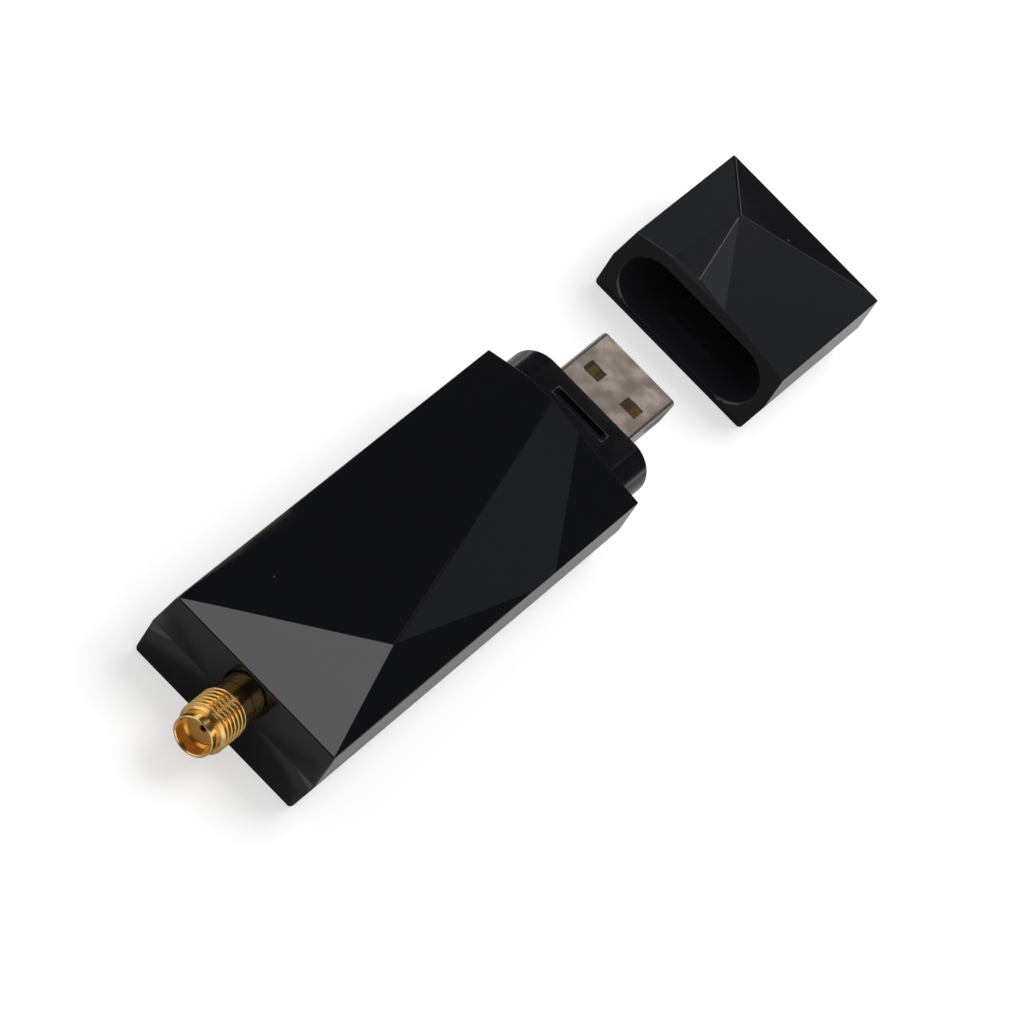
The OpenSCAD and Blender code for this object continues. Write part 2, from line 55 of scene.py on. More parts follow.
mounts = {m["name"]: m for m in frame["record"]["mounts"]}
AXIS_Z = mounts["antenna_thread"]["pos_m"][2]      # height of the axis through both connectors
top_low, top_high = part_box("top_cover")
cap_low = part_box("cap")[0]
collar_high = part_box("plug_collar")[1]
shell_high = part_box("usb_shell")[1]
sma_low, sma_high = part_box("sma_body")


# ---------------------------------------------------------------- small tools for nodes

def linear(code):
    """Linear RGBA of an sRGB hex colour: a channel c gives c / 12.92 up to 0.04045, and above that
    ((c + 0.055) / 1.055) ^ 2.4."""
    channels = np.array([int(code[i:i + 2], 16) for i in (0, 2, 4)]) / 255
    low = channels / 12.92
    high = ((channels + 0.055) / 1.055) ** 2.4
    return (*np.where(channels <= 0.04045, low, high), 1.0)


def connect(tree, node, inputs):
    """Gives a node's sockets their values, or links them to other nodes' sockets."""
    for socket, value in inputs.items():
        if isinstance(value, bpy.types.NodeSocket):
            tree.links.new(value, node.inputs[socket])
        else:
            node.inputs[socket].default_value = value


def add(tree, kind, inputs=None, **settings):
    """Adds one node: settings are its own properties, and inputs go to its sockets."""
    made = tree.nodes.new(kind)
    for name, value in settings.items():
        setattr(made, name, value)
    connect(tree, made, inputs or {})
    return made


def calc(tree, operation, *values, **settings):
    """Socket of one sum over its values."""
    made = add(tree, "ShaderNodeMath", dict(enumerate(values)), operation=operation, **settings)
    return made.outputs["Value"]


def ramp(tree, value, low, high, to_low=0.0, to_high=1.0):
    """Socket that goes smoothly from to_low to to_high as value goes from low to high."""
    made = add(tree, "ShaderNodeMapRange", {"Value": value, "From Min": low, "From Max": high,
                                            "To Min": to_low, "To Max": to_high},
               interpolation_type="SMOOTHSTEP")
    return made.outputs["Result"]


def blend(tree, share, colour_a, colour_b):
    """Socket of a colour that is colour_a where share is 0 and colour_b where it is 1."""
    made = add(tree, "ShaderNodeMix", {"Factor": share, "A": colour_a, "B": colour_b}, data_type="RGBA")
    return made.outputs["Result"]


def noise(tree, place, scale, detail, roughness=0.5):
    """Socket of a cloudy noise, with a scale in lumps to the millimetre."""
    made = add(tree, "ShaderNodeTexNoise", {"Vector": place, "Scale": scale, "Detail": detail,
                                            "Roughness": roughness})
    return made.outputs["Fac"]


def stretched(tree, place, scale):
    """Coordinates with a scale for each axis, for marks that run one way."""
    return add(tree, "ShaderNodeMapping", {"Vector": place, "Scale": scale}).outputs["Vector"]


def relief(tree, height, depth):
    """Normals of a relief that is as deep as depth, in millimetres."""
    made = add(tree, "ShaderNodeBump", {"Height": height, "Distance": depth * MM, "Strength": 1.0})
    return made.outputs["Normal"]


def bare_material(name):
    """A new material with an empty node tree, and that tree."""
    material = bpy.data.materials.new(name)
    material.use_nodes = True
    tree = material.node_tree
    tree.nodes.clear()
    return material, tree


def surface_material(name):
    """A new material with its tree, its surface shader and its coordinates in millimetres."""
    material, tree = bare_material(name)
    shader = add(tree, "ShaderNodeBsdfPrincipled")
    add(tree, "ShaderNodeOutputMaterial", {"Surface": shader.outputs["BSDF"]})
    place = add(tree, "ShaderNodeTexCoord")
    millimetres = add(tree, "ShaderNodeVectorMath", {0: place.outputs["Object"], "Scale": 1 / MM},
                      operation="SCALE")
    return material, tree, shader, millimetres.outputs["Vector"]


# ---------------------------------------------------------------- materials

def speckle(tree, place, spacing, radius, share):
    """Socket that is 1 on small round specks: a share of cells of a given spacing holds one speck each."""
    cells = add(tree, "ShaderNodeTexVoronoi", {"Vector": place, "Scale": 1 / spacing},
                voronoi_dimensions="3D")
    near = ramp(tree, cells.outputs["Distance"], radius / spacing, 0.4 * radius / spacing)
    chance = add(tree, "ShaderNodeSeparateColor", {"Color": cells.outputs["Color"]})
    kept = ramp(tree, chance.outputs["Red"], share, share - 0.01)
    return calc(tree, "MULTIPLY", near, kept)


def inside_box(tree, place, low, high, softness=0.1):
    """Socket that is 1 inside a box given by two corners and 0 outside it, with a soft edge, in
    millimetres."""
    parts = add(tree, "ShaderNodeSeparateXYZ", {"Vector": place})
    inside = None
    for axis, start, end in zip("XYZ", low, high):
        for edge, full in ((start, start + softness), (end, end - softness)):
            side = ramp(tree, parts.outputs[axis], edge, full)
            inside = side if inside is None else calc(tree, "MULTIPLY", inside, side)
    return inside


def gloss_abs(name, roughness, satin_and_painted_light_box=None, painted_highlight_rim=None):
    """Black ABS moulded against a polished steel tool: a deep black that shows little but what it mirrors,
    with haze, grains of settled dust and the faint waves of sink over the ribs. Inside the pocket box the
    tool was left as milled, which gives a rougher, satin black, and the black there is painted greyer:
    painted light in the dark pocket. Between the two rim boxes a pale band is painted: a painted highlight."""
    material, tree, shader, place = surface_material(name)
    dust = speckle(tree, place, spacing=4.2, radius=0.16, share=0.3)
    haze = noise(tree, place, 0.16, 4.0, 0.6)
    colour = blend(tree, dust, linear("0a0b0e"), linear("6a6a66"))
    rough = calc(tree, "ADD", ramp(tree, haze, 0.3, 0.7, roughness, roughness * 1.6), dust)
    # painted light: inside the pocket box the black is painted greyer, and made rougher
    if satin_and_painted_light_box:
        satin_and_painted_light = inside_box(tree, place, *satin_and_painted_light_box)
        colour = blend(tree, satin_and_painted_light, colour, linear("2c2d31"))
        rough = calc(tree, "MULTIPLY_ADD", satin_and_painted_light, 0.3, rough)
    # painted highlight: a pale band painted along the rim of the collar's snap recess
    if painted_highlight_rim:
        outer, inner = (inside_box(tree, place, *box) for box in painted_highlight_rim)
        ring = calc(tree, "SUBTRACT", outer, inner, use_clamp=True)
        colour = blend(tree, ring, colour, linear("45454a"))
    waves = noise(tree, place, 0.12, 1.0)
    connect(tree, shader, {"Base Color": colour, "Roughness": rough, "IOR": 1.53,
                           "Normal": relief(tree, waves, 0.004)})
    return material


def nickel_plate():
    """Steel sheet with a satin nickel plate, stamped and folded: a warm grey, blotchy where it was handled,
    with hairlines along the rolling direction."""
    material, tree, shader, place = surface_material("nickel_plated_sheet_steel")
    blotches = noise(tree, place, 0.45, 3.0)
    colour = blend(tree, ramp(tree, blotches, 0.35, 0.68), linear("c8bfb8"), linear("b9b0a8"))
    rough = ramp(tree, blotches, 0.3, 0.7, 0.26, 0.4)
    hairlines = noise(tree, stretched(tree, place, (0.15, 3.0, 3.0)), 1.0, 3.0)
    connect(tree, shader, {"Base Color": colour, "Roughness": rough, "Metallic": 1.0,
                           "Normal": relief(tree, hairlines, 0.0004)})
    return material


def gold_plate():
    """Turned brass with a bright gold plate: deep yellow, slightly uneven from plating, with fine tool
    rings."""
    material, tree, shader, place = surface_material("gold_plated_turned_brass")
    cloud = noise(tree, place, 1.1, 3.0)
    colour = blend(tree, ramp(tree, cloud, 0.35, 0.65), linear("f5cf87"), linear("ebbd6c"))
    rings = noise(tree, stretched(tree, place, (14.0, 0.3, 0.3)), 1.0, 2.0)
    connect(tree, shader, {"Base Color": colour, "Roughness": 0.2, "Metallic": 1.0,
                           "Normal": relief(tree, rings, 0.003)})
    return material


def ptfe():
    """Machined PTFE: a waxy white, faintly cloudy, here painted amber: painted reflected light from the gilt
    bore close around it.
    """
    material, tree, shader, place = surface_material("machined_ptfe")
    # painted reflected light: amber tones stand in for the glow of the gilt bore on the white PTFE
    colour = blend(tree, noise(tree, place, 1.6, 2.0), linear("e3b878"), linear("cf9d58"))
    connect(tree, shader, {"Base Color": colour, "Roughness": 0.45, "IOR": 1.35})
    return material


def moulded(name, code_a, code_b, roughness, grain, depth):
    """Filled moulding compound, ceramic or ferrite: two close tones in grains of a given size, with a
    fine relief."""
    material, tree, shader, place = surface_material(name)
    grains = noise(tree, place, 1 / grain, 3.0)
    colour = blend(tree, ramp(tree, grains, 0.35, 0.65), linear(code_a), linear(code_b))
    connect(tree, shader, {"Base Color": colour, "Roughness": roughness, "IOR": 1.5,
                           "Normal": relief(tree, grains, depth)})
    return material


# ---------------------------------------------------------------- shells copied from the frame

ROOF_FACE = 0.9       # a face whose normal rises more than this belongs to the faceted roof
WALL_FACE = 0.3       # a face whose normal rises or falls less than this is a wall
CURVE_STEP = math.radians(12)        # neighbours that turn less than this belong to one curved wall
SAME_PLACE = 0.02                    # millimetres within which two places are the same
POCKET_HEIGHTS = (1.0, 9.6)          # the rim of the cap's pocket lies between these, in millimetres
FAR_FACET_LEAN = 0.14                # the normal of the cap's far facet leans forward by more than this
ROUNDING = {"seam": 0.07, "facet_ridge": 0.16, "end_rim": 0.22, "side_rim": 0.12, "corner": 0.2,
            "pocket_mouth": 0.08, "far_ridge": 0.6, "recess_rim": 0.1, "cut_sheet": 0.07}   # millimetres


def copy_solid(node, name):
    """A copy of a CAD node as one closed skin: doubles merged, and flat neighbours rejoined to faces."""
    mesh = bpy.data.meshes.new(name)
    work = bmesh.new()
    work.from_mesh(frame["nodes"][node].data)
    bmesh.ops.remove_doubles(work, verts=work.verts, dist=0.002 * MM)
    bmesh.ops.dissolve_limit(work, angle_limit=math.radians(0.3), verts=work.verts, edges=work.edges)
    work.to_mesh(mesh)
    work.free()
    piece = bpy.data.objects.new(name, mesh)
    bpy.context.scene.collection.objects.link(piece)
    return piece


def mark_edges(mesh, width_of):
    """Marks a mesh's corners crisp, but not those to round nor the small steps of curved walls, and gives
    the width of each edge's rounding from width_of(low end, high end, one normal, other normal)."""
    work = bmesh.new()
    work.from_mesh(mesh)
    work.normal_update()
    widths = np.zeros(len(work.edges))
    for edge in work.edges:
        edge.smooth = True
        if len(edge.link_faces) == 2 and edge.calc_face_angle() > math.radians(1.5):
            ends = sorted((v.co / MM for v in edge.verts), key=lambda p: (p.z, p.x, p.y))
            normals = sorted((f.normal for f in edge.link_faces), key=lambda n: n.z)
            widths[edge.index] = width_of(*ends, *normals)
            corner = edge.calc_face_angle() > CURVE_STEP or normals[0].z > ROOF_FACE
            edge.smooth = bool(widths[edge.index] > 0) or not corner
    for face in work.faces:
        face.smooth = True
    work.to_mesh(mesh)
    work.free()
    return widths


def round_edges(piece, width_of, segments=3):
    """Rounds the edges that mark_edges gives a width, and keeps the faces beside them flat."""
    widths = mark_edges(piece.data, width_of)
    widest = widths.max()
    weights = piece.data.attributes.new("bevel_weight_edge", "FLOAT", "EDGE")
    weights.data.foreach_set("value", widths / widest)
    bevel = piece.modifiers.new("rounded_edges", "BEVEL")
    bevel.limit_method = "WEIGHT"
    bevel.width = widest * MM
    bevel.segments = segments
    bevel.use_clamp_overlap = True
    flatten = piece.modifiers.new("flat_faces_stay_flat", "WEIGHTED_NORMAL")
    flatten.mode = "FACE_AREA"
    flatten.weight = 80
    flatten.keep_sharp = True
    return piece


def at_height(height, *points):
    """Whether all points lie at a height."""
    return all(abs(p.z - height) < SAME_PLACE for p in points)


def housing_edge(low, high, normal_low, normal_high):
    """Width of the rounding on an outer edge of a cover or the cap, and 0 on an inner edge."""
    side = top_high.y / MM - 0.6                   # outer walls lie beyond this distance from the centre line
    rim = top_high.z / MM - 1.8                    # the roof's rim lies above this height
    outer = all(abs(p.y) > side or p.z > rim for p in (low, high))
    if not outer:
        return 0.0
    if at_height(AXIS_Z / MM, low, high):
        return ROUNDING["seam"]
    if normal_low.z > ROOF_FACE:
        return ROUNDING["facet_ridge"]
    if normal_high.z > ROOF_FACE:
        return ROUNDING["end_rim"] if abs(normal_low.x) > 0.5 else ROUNDING["side_rim"]
    return ROUNDING["corner"]


def cap_edge(low, high, normal_low, normal_high):
    """As housing_edge, with a broad soft ridge around the far facet and a fine rim on the pocket."""
    bottom, top = POCKET_HEIGHTS
    mouth = all(abs(p.x - cap_low.x / MM) < 0.3 and bottom < p.z < top for p in (low, high))
    if mouth and housing_edge(low, high, normal_low, normal_high) == 0:
        return ROUNDING["pocket_mouth"]
    if normal_low.z > ROOF_FACE and max(normal_low.x, normal_high.x) > FAR_FACET_LEAN:
        return ROUNDING["far_ridge"]
    return housing_edge(low, high, normal_low, normal_high)


def rim_of_cut(height, low, high, normal_low, normal_high):
    """Whether an edge is the upper rim of a hole cut down from a height."""
    return at_height(height, low, high) and abs(normal_low.z) < WALL_FACE and normal_high.z > ROOF_FACE


def recess_edge(*edge):
    """Rounds the rim of the snap recess in the collar's top, and leaves the rest."""
    return ROUNDING["recess_rim"] if rim_of_cut(collar_high.z / MM, *edge) else 0.0


def sheet_edge(low, high, *normals):
    """Rounds the cut edges of the plug's windows and of its open tip."""
    tip = all(p.x > shell_high.x / MM - SAME_PLACE for p in (low, high))
    return ROUNDING["cut_sheet"] if tip or rim_of_cut(shell_high.z / MM, low, high, *normals) else 0.0


# ---------------------------------------------------------------- antenna connector, in millimetres

TURN_STEPS = 192                    # columns around the connector
PITCH_STEPS = 26                    # rows along one pitch of the thread
LEG_STEPS = 24                      # columns around a leg
THREAD_PITCH = 25.4 / 36            # 36 threads to the inch
THREAD_DEPTH = 0.433                # as deep as a 1/4-36 external thread
THREAD_CREST = 3.175                # radius over the thread, half of a quarter inch
THREAD_BEVEL = 0.4                  # height of the bevels at its ends
CREST_HALF = 1 / 16                 # half of the flat on a crest, in pitches
ROOT_HALF = 1 / 8                   # half of the flat in a root, in pitches
FLAT_HEIGHT = 2.97                  # of the flat on top, over the axis
FLAT_BLEND = 0.015                  # softness of the flat's edges
BORE_RADIUS = 2.05                  # of the hole that holds the insulator
MOUTH_RADIUS = 2.3                  # of the wider hole in front of it
MOUTH_DEPTH = 2.0
MOUTH_CHAMFER = 0.12
LIP_RADIUS = 2.62                   # over the lip in front of the groove
LIP_CHAMFER = 0.08
LIP_BACK_CHAMFER = 0.06
GROOVE_RADIUS = 2.45
NECK_RADIUS = 2.75                  # of the plain neck behind the thread
FLANGE_HALF = 3.2
LEG_HALF = 0.45
LEG_CHAMFER = 0.1
LEG_SIDE = 2.7                      # from the axis to a leg's middle
LEG_ROOT = 0.05                     # how far a leg reaches into the flange
SKIN_RADIUS = 2.65                  # what lies farther out than this on the thread is its skin

nose = sma_low.x / MM                           # front of the lip
lip_end = nose + 0.8
thread_start = lip_end + 0.7
end_wall = top_low.x / MM
thread_end = end_wall - 1.9
flange_start = end_wall + 1.5
flange_end = flange_start + 2.0
ROUND, SQUARE, THREADED = 0, 1, 2               # kinds of rows in the profile


def closed_grid(name, places, loop):
    """A mesh from a grid of places, joined round its columns, and round its rows too where loop."""
    rows, columns = places.shape[:2]
    numbers = np.arange(rows * columns).reshape(rows, columns)
    if loop:
        numbers = np.vstack((numbers, numbers[:1]))
    here, after = numbers[:-1], numbers[1:]
    corners = (here, after, np.roll(after, -1, axis=1), np.roll(here, -1, axis=1))
    faces = np.stack(corners, axis=-1).reshape(-1, 4)
    mesh = bpy.data.meshes.new(name)
    mesh.from_pydata((places.reshape(-1, 3) * MM).tolist(), [], faces.tolist())
    return mesh


def join_meshes(name, meshes, sharp_angle):
    """One piece from closed meshes: doubles merged, faces turned outwards, smooth but for sharp corners."""
    work = bmesh.new()
    for mesh in meshes:
        work.from_mesh(mesh)
        bpy.data.meshes.remove(mesh)
    bmesh.ops.remove_doubles(work, verts=work.verts, dist=0.0005 * MM)
    bmesh.ops.recalc_face_normals(work, faces=work.faces)
    for face in work.faces:
        face.smooth = True
    whole = bpy.data.meshes.new(name)
    work.to_mesh(whole)
    work.free()
    whole.set_sharp_from_angle(angle=sharp_angle)
    piece = bpy.data.objects.new(name, whole)
    bpy.context.scene.collection.objects.link(piece)
    return piece


def full_turn(steps):
    """A row of angles, evenly spread over a full turn."""
    return np.linspace(0, 2 * math.pi, steps, endpoint=False)[None, :]


def squared(half, angle):
    """Radius at angle a of a square: half / the larger of |cos a| and |sin a|."""
    return half / np.maximum(np.abs(np.cos(angle)), np.abs(np.sin(angle)))


def threaded_radius(x, angle):
    """Radius r(x, a) of the thread: it falls from its crest by its depth times a smooth step of the distance
    from the nearest crest line, x / pitch - a / a full turn, and no higher than its end bevels. The flat
    on top, f = height / sin a, cuts it by a soft minimum, -b log(exp(-r / b) + exp(-f / b))."""
    phase = x / THREAD_PITCH - angle / (2 * math.pi)
    from_crest = np.abs(phase - np.round(phase))
    step = np.clip((from_crest - CREST_HALF) / (1 / 2 - CREST_HALF - ROOT_HALF), 0, 1)
    radius = THREAD_CREST - THREAD_DEPTH * step * step * (3 - 2 * step)
    bevels = THREAD_CREST - THREAD_BEVEL + np.minimum(x - thread_start, thread_end - x)
    radius = np.minimum(radius, bevels)
    flat = FLAT_HEIGHT / np.maximum(np.sin(angle), 0.2)
    return -FLAT_BLEND * np.log(np.exp(-radius / FLAT_BLEND) + np.exp(-flat / FLAT_BLEND))


def turned_profile():
    """Rows of x, radius and kind along the body's skin: out of the bore, round the lip, over the groove,
    the thread and the neck, and over the flange."""
    mouth_end = nose + MOUTH_DEPTH
    front = [(flange_end, BORE_RADIUS), (mouth_end, BORE_RADIUS), (mouth_end, MOUTH_RADIUS),
             (nose + MOUTH_CHAMFER, MOUTH_RADIUS), (nose, MOUTH_RADIUS + MOUTH_CHAMFER),
             (nose, LIP_RADIUS - LIP_CHAMFER), (nose + LIP_CHAMFER, LIP_RADIUS),
             (lip_end - LIP_CHAMFER, LIP_RADIUS), (lip_end, LIP_RADIUS - LIP_BACK_CHAMFER),
             (lip_end, GROOVE_RADIUS), (thread_start, GROOVE_RADIUS)]
    thread = [(x, THREAD_CREST) for x in np.arange(thread_start, thread_end, THREAD_PITCH / PITCH_STEPS)]
    thread.append((thread_end, THREAD_CREST))
    neck = [(thread_end, NECK_RADIUS), (flange_start, NECK_RADIUS)]
    flange = [(flange_start, FLANGE_HALF), (flange_end, FLANGE_HALF)]
    stretches = ((front, ROUND), (thread, THREADED), (neck, ROUND), (flange, SQUARE))
    return np.array([(*row, kind) for rows, kind in stretches for row in rows])


def around_line(x, radius, angle, y=0.0, z=AXIS_Z / MM):
    """Places at radii and angles around a line that runs along X at a given y and z."""
    return np.stack((np.broadcast_to(x, radius.shape), radius * np.cos(angle) + y,
                     radius * np.sin(angle) + z), axis=-1)


def turned_body():
    """Mesh of the body: each row of the profile at its radius, the thread's, or the square flange's."""
    profile = turned_profile()
    x, radius, kind = (profile[:, i:i + 1] for i in range(3))
    angle = full_turn(TURN_STEPS)
    plain = np.where(kind == SQUARE, squared(radius, angle), radius)
    radius = np.where(kind == THREADED, threaded_radius(x, angle), plain)
    return closed_grid("turned_body", around_line(x, radius, angle), loop=True)


def leg(side, height):
    """Mesh of one square leg behind the flange, with a bevelled tip."""
    root, tip = flange_end - LEG_ROOT, sma_high.x / MM
    profile = np.array([(root, 0), (root, LEG_HALF), (tip - LEG_CHAMFER, LEG_HALF),
                        (tip, LEG_HALF - LEG_CHAMFER), (tip, 0)])
    angle = full_turn(LEG_STEPS)
    radius = squared(profile[:, 1:2], angle)
    return closed_grid("leg", around_line(profile[:, :1], radius, angle, side, height), loop=False)


def soften_thread(mesh):
    """Takes the crisp mark off the edges of the thread's skin, between its ends."""
    places = np.zeros(len(mesh.vertices) * 3)
    mesh.vertices.foreach_get("co", places)
    x, y, z = places[::3], places[1::3], places[2::3]
    skin = np.hypot(y, z - AXIS_Z) > SKIN_RADIUS * MM
    skin &= (x > (thread_start + 0.1) * MM) & (x < (thread_end - 0.1) * MM)
    ends = np.zeros(len(mesh.edges) * 2, dtype=int)
    mesh.edges.foreach_get("vertices", ends)
    crisp = np.zeros(len(mesh.edges), dtype=bool)
    marks = mesh.attributes["sharp_edge"].data
    marks.foreach_get("value", crisp)
    marks.foreach_set("value", crisp & ~skin[ends.reshape(-1, 2)].all(axis=1))


def antenna_connector():
    """The gold body: a turned part with thread, flat and square flange, and four legs around the board."""
    meshes = [turned_body()]
    board_low, board_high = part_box("circuit_board")
    for side in (-LEG_SIDE, LEG_SIDE):
        for height in (board_high.z / MM + LEG_HALF, board_low.z / MM - LEG_HALF):
            meshes.append(leg(side, height))
    piece = join_meshes("threaded_antenna_connector", meshes, math.radians(35))
    soften_thread(piece.data)
    return piece


# ---------------------------------------------------------------- pieces and what they are made of

GLOSS = 0.05                         # roughness of the polished mouldings
SEMI_GLOSS = 0.06
RECESS_FROM_COVER = 4.7              # from the housing to the middle of the collar's snap recess
RECESS_HALF = (0.8, 4.15)            # half of its length and width
POCKET_SURROUND = np.array([0.8, 2.5, 0.8])      # how far the painted lighter grey and the rougher satin black reach around the pocket


def dress(piece, material, body, slot, *nodes):
    """Gives a new piece its material, the body that it rides on and the CAD nodes that it stands for, which
    it hides. The slot argument is not used."""
    piece.data.materials.clear()
    piece.data.materials.append(material)
    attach(piece, body)
    if nodes:
        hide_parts(*nodes)
    return piece


def repaint(name, material):
    """Gives a CAD node that stays its better material."""
    mesh = frame["nodes"][name].data
    mesh.materials.clear()
    mesh.materials.append(material)


def pocket_box():
    """Corners of the box around the cap's pocket, from just inside its mouth."""
    low, high = (np.array(corner) / MM for corner in frame["record"]["physics"]["openings"][0]["box_m"])
    low, high = low - POCKET_SURROUND, high + POCKET_SURROUND
    low[0] = cap_low.x / MM + 0.05
    return low.tolist(), high.tolist()


def recess_box(grow, depth):
    """Corners of the snap recess in the collar's top, grown on each side, from a depth to over the top."""
    middle = top_high.x / MM + RECESS_FROM_COVER
    top = collar_high.z / MM
    half_x, half_y = RECESS_HALF[0] + grow, RECESS_HALF[1] + grow
    return [middle - half_x, -half_y, top - depth], [middle + half_x, half_y, top + 0.3]


top_cover = round_edges(copy_solid("top_cover", "faceted_top_cover"), housing_edge)
bottom_cover = round_edges(copy_solid("bottom_cover", "flat_bottom_cover"), housing_edge)
cap = round_edges(copy_solid("cap", "faceted_cap"), cap_edge)
collar = round_edges(copy_solid("plug_collar", "round_ended_collar"), recess_edge)
shell = round_edges(copy_solid("usb_shell", "folded_plug_shell"), sheet_edge, segments=2)

gloss = gloss_abs("gloss_moulded_abs", GLOSS)
dress(top_cover, gloss, "housing", "top_cover", "top_cover")
dress(bottom_cover, gloss, "housing", "bottom_cover", "bottom_cover")
# the cap's pocket is painted greyer as painted light in it, and is rougher
dress(cap, gloss_abs("gloss_moulded_abs_cap", GLOSS, satin_and_painted_light_box=pocket_box()), "cap", "cap", "cap")
# boxes of the painted highlight band around the collar's snap recess
painted_highlight_boxes = (recess_box(0.1, depth=0.12), recess_box(-0.03, depth=0.6))
dress(collar, gloss_abs("semi_gloss_moulded_abs", SEMI_GLOSS, painted_highlight_rim=painted_highlight_boxes),
      "housing", "plug_collar", "plug_collar")
dress(shell, nickel_plate(), "housing", "usb_shell", "usb_shell")
gold = gold_plate()
dress(antenna_connector(), gold, "housing", "sma_body", "sma_body")
for plated in ("usb_contacts", "sma_contact"):
    repaint(plated, gold)
repaint("sma_insulator", ptfe())
repaint("usb_insulator", moulded("glass_filled_polyester", "dac8be", "c2b0a6", 0.5, 0.3, 0.004))
repaint("circuit_board", moulded("green_solder_mask", "14502f", "0f4427", 0.35, 1.2, 0.01))
repaint("shield_can", moulded("tinned_sheet_steel", "c4c6c8", "b2b4b6", 0.35, 0.8, 0.003))
repaint("wifi_chip", moulded("moulded_epoxy", "202022", "2a2a2c", 0.55, 0.08, 0.006))
repaint("crystal", moulded("plated_ceramic_lid", "cfccc4", "bdb9b0", 0.4, 0.4, 0.002))
repaint("regulator", moulded("moulded_epoxy_package", "1f1f21", "29292b", 0.55, 0.08, 0.006))
repaint("esd_protector", moulded("moulded_epoxy_package_small", "1f1f21", "29292b", 0.55, 0.08, 0.006))
repaint("inductors", moulded("pressed_ferrite", "48494c", "5a5b5f", 0.7, 0.1, 0.01))
repaint("capacitors", moulded("barium_titanate_ceramic", "a98c68", "b99b76", 0.5, 0.15, 0.004))
repaint("resistors", moulded("glazed_thick_film", "1d1d22", "26262c", 0.3, 0.2, 0.002))
repaint("rf_filter", moulded("fired_ceramic", "cfc8b8", "bdb5a4", 0.55, 0.15, 0.004))


# ---------------------------------------------------------------- studio

FLOOR_HALF = 3.0                    # metres
FLOOR_Z = -0.03 * MM                # a hair under the part, so that the two faces don't fight
CARDS_Z = 250.0                     # height of the level cards over the table, in millimetres
COOL_WHITE = "f4f6ff"
WARM_WHITE = "fff6e6"


def stage_plane(name, corners, material):
    """A flat four-sided stage piece through its corners, in metres."""
    mesh = bpy.data.meshes.new(name)
    mesh.from_pydata([tuple(c) for c in corners], [], [(0, 1, 2, 3)])
    plane = bpy.data.objects.new(name, mesh)
    bpy.context.scene.collection.objects.link(plane)
    plane.data.materials.append(material)
    return plane


def floor_material():
    """Pale grey table top. The camera sees it as white paper, with the soft shadow kept, and so do gloss
    and glass, but for the shaded ground close to the adapter. Seen from below it is open."""
    material, tree = bare_material("pale_table")
    rays = add(tree, "ShaderNodeLightPath").outputs
    place = add(tree, "ShaderNodeTexCoord")
    reach = add(tree, "ShaderNodeVectorMath", {0: place.outputs["Object"]}, operation="LENGTH")
    away = ramp(tree, reach.outputs["Value"], 0.08, 0.2)
    mirrored = calc(tree, "ADD", rays["Is Glossy Ray"], rays["Is Transmission Ray"])
    direct = calc(tree, "MULTIPLY_ADD", mirrored, away, rays["Is Camera Ray"])
    seen = calc(tree, "MULTIPLY", direct, 0.56)
    glow = add(tree, "ShaderNodeEmission", {"Color": linear("ffffff"), "Strength": seen})
    matt = add(tree, "ShaderNodeBsdfDiffuse", {"Color": linear("c4c4c4")})
    both = add(tree, "ShaderNodeAddShader", {0: glow.outputs["Emission"], 1: matt.outputs["BSDF"]})
    side = add(tree, "ShaderNodeNewGeometry")
    clear = add(tree, "ShaderNodeBsdfTransparent")
    open_below = add(tree, "ShaderNodeMixShader", {0: side.outputs["Backfacing"], 1: both.outputs["Shader"],
                                                   2: clear.outputs["BSDF"]})
    add(tree, "ShaderNodeOutputMaterial", {"Surface": open_below.outputs["Shader"]})
    return material


def light_card(name, corners, radiance, tint="ffffff"):
    """A flat card that only reflections see, through four corners in millimetres, at a plain radiance."""
    material, tree = bare_material(name)
    glow = add(tree, "ShaderNodeEmission", {"Color": linear(tint), "Strength": radiance})
    add(tree, "ShaderNodeOutputMaterial", {"Surface": glow.outputs["Emission"]})
    card = stage_plane(name, np.array(corners) * MM, material)
    card.visible_camera = False
    card.visible_diffuse = False
    card.visible_transmission = False
    card.visible_shadow = False
    return card


def flat_card(x, y, z=CARDS_Z):
    """Corners of a level card over two ranges, in millimetres."""
    return [(x[0], y[0], z), (x[0], y[1], z), (x[1], y[1], z), (x[1], y[0], z)]


def upright_card(x, y, z):
    """Corners of an upright card that runs along X at one Y, over ranges of X and Z, in millimetres."""
    return [(x[0], y, z[0]), (x[1], y, z[0]), (x[1], y, z[1]), (x[0], y, z[1])]


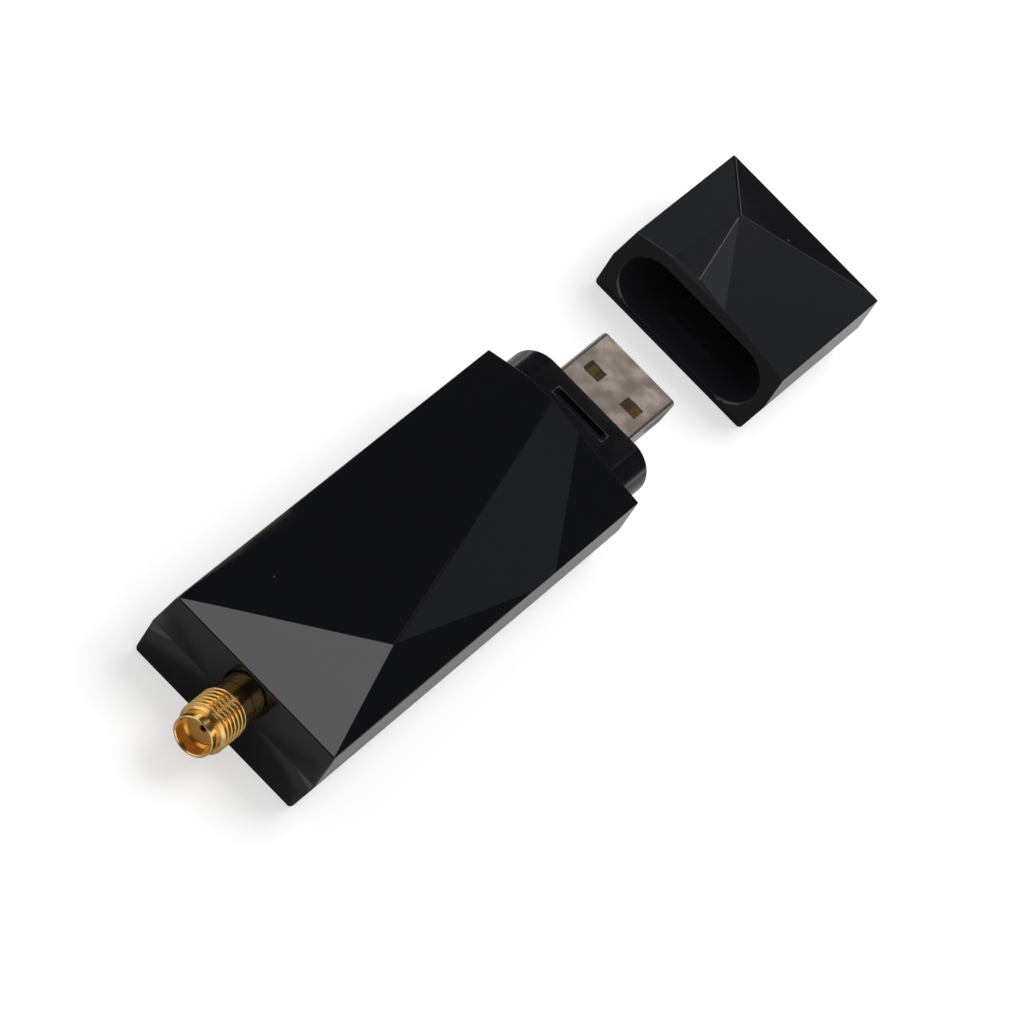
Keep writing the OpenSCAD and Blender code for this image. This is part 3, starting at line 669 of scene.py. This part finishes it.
def make_world():
    """Soft tent: white to the camera, an even fill for matt surfaces, and for gloss a tent that is pale low
    down at both sides and dark overhead, in front and behind."""
    world = bpy.data.worlds.new("soft_tent")
    bpy.context.scene.world = world
    world.use_nodes = True
    tree = world.node_tree
    tree.nodes.clear()
    rays = add(tree, "ShaderNodeLightPath").outputs
    place = add(tree, "ShaderNodeTexCoord")
    way = add(tree, "ShaderNodeSeparateXYZ", {"Vector": place.outputs["Generated"]}).outputs
    at_sides = ramp(tree, calc(tree, "ABSOLUTE", way["Y"]), 0.28, 0.55)
    behind = ramp(tree, way["X"], 0.45, 0.1)
    side_wall = calc(tree, "MULTIPLY", at_sides, behind)
    ahead = calc(tree, "MAXIMUM", way["X"], 0.0)
    rise = calc(tree, "MULTIPLY_ADD", ahead, 0.35, way["Z"])
    horizon = ramp(tree, rise, 0.5, 0.08)
    tent = ramp(tree, calc(tree, "MAXIMUM", side_wall, horizon), 0.0, 1.0, 0.07, 1.0)
    fill_or_tent = add(tree, "ShaderNodeMix", {"Factor": rays["Is Glossy Ray"], "A": 0.45, "B": tent},
                       data_type="FLOAT").outputs["Result"]
    strength = add(tree, "ShaderNodeMix", {"Factor": rays["Is Camera Ray"], "A": fill_or_tent, "B": 1.0},
                   data_type="FLOAT").outputs["Result"]
    sky = add(tree, "ShaderNodeBackground", {"Color": linear("ffffff"), "Strength": strength})
    add(tree, "ShaderNodeOutputWorld", {"Surface": sky.outputs["Background"]})


def area_light(name, place, aim, size, power, glossy):
    """A square soft lamp at a place, turned to its aim, in metres and watts."""
    data = bpy.data.lights.new(name, "AREA")
    data.shape = "SQUARE"
    data.size = size
    data.energy = power
    lamp = bpy.data.objects.new(name, data)
    bpy.context.scene.collection.objects.link(lamp)
    lamp.location = place
    lamp.rotation_euler = (Vector(aim) - Vector(place)).to_track_quat("-Z", "Y").to_euler()
    lamp.visible_glossy = glossy
    return lamp


stage_plane("floor", [(-FLOOR_HALF, -FLOOR_HALF, FLOOR_Z), (FLOOR_HALF, -FLOOR_HALF, FLOOR_Z),
                      (FLOOR_HALF, FLOOR_HALF, FLOOR_Z), (-FLOOR_HALF, FLOOR_HALF, FLOOR_Z)],
            floor_material())
light_card("dark_flag", flat_card((190, 870), (-165, 215), CARDS_Z + 6), 0.05)
light_card("key_softbox", flat_card((60, 172), (-10, 60)), 1.95)
light_card("barrel_card", flat_card((205, 255), (10, 42)), 1.0, "b09978")
light_card("plug_card", flat_card((323, 384), (-4, 62), CARDS_Z - 2), 2.05, "fff3ea")
light_card("grey_panel", flat_card((332, 480), (-36, 112)), 0.25, COOL_WHITE)
light_card("grey_panel_left", flat_card((385, 480), (112, 215)), 0.25, COOL_WHITE)
light_card("ridge_panel", flat_card((256, 345), (-80, -38)), 0.2, COOL_WHITE)
light_card("wedge_panel", flat_card((372, 430), (-60, -36)), 0.45, COOL_WHITE)
light_card("far_ridge_strip", flat_card((600, 720), (-90, 190)), 0.9)
mouth_x = cap_low.x / MM
light_card("mouth_flag", flat_card((mouth_x - 13, mouth_x - 0.6), (-14, 14), 0.3), 0.2)
light_card("connector_fill_left", upright_card((-26, 36), 40, (5, 46)), 1.3, WARM_WHITE)
light_card("connector_fill_right", upright_card((-26, 36), -40, (5, 46)), 1.3, WARM_WHITE)
make_world()
area_light("key_lamp", (0.42, -0.08, 0.62), (0.02, 0, 0), 0.45, 3.4, glossy=False)


# ---------------------------------------------------------------- camera

def make_camera():
    """A long lens that looks down at the antenna end, turned so that the adapter lies corner to corner."""
    place = Vector((-643.868, -73.242, 616.728)) * MM
    aim = Vector((21.74, -3.30, 5.0)) * MM
    roll = math.radians(41.58)
    ahead = (aim - place).normalized()
    level = ahead.cross(Vector((0, 0, 1))).normalized()
    rise = level.cross(ahead)
    right = level * math.cos(roll) + rise * math.sin(roll)
    up = rise * math.cos(roll) - level * math.sin(roll)
    data = bpy.data.cameras.new("camera")
    data.lens = 275.4
    data.sensor_width = 36.0
    data.clip_start = 0.05
    data.clip_end = 20.0
    camera = bpy.data.objects.new("camera", data)
    bpy.context.scene.collection.objects.link(camera)
    camera.matrix_world = Matrix.Translation(place) @ Matrix((right, up, -ahead)).transposed().to_4x4()
    bpy.context.scene.camera = camera


make_camera()
bpy.context.scene.view_settings.view_transform = "Standard"
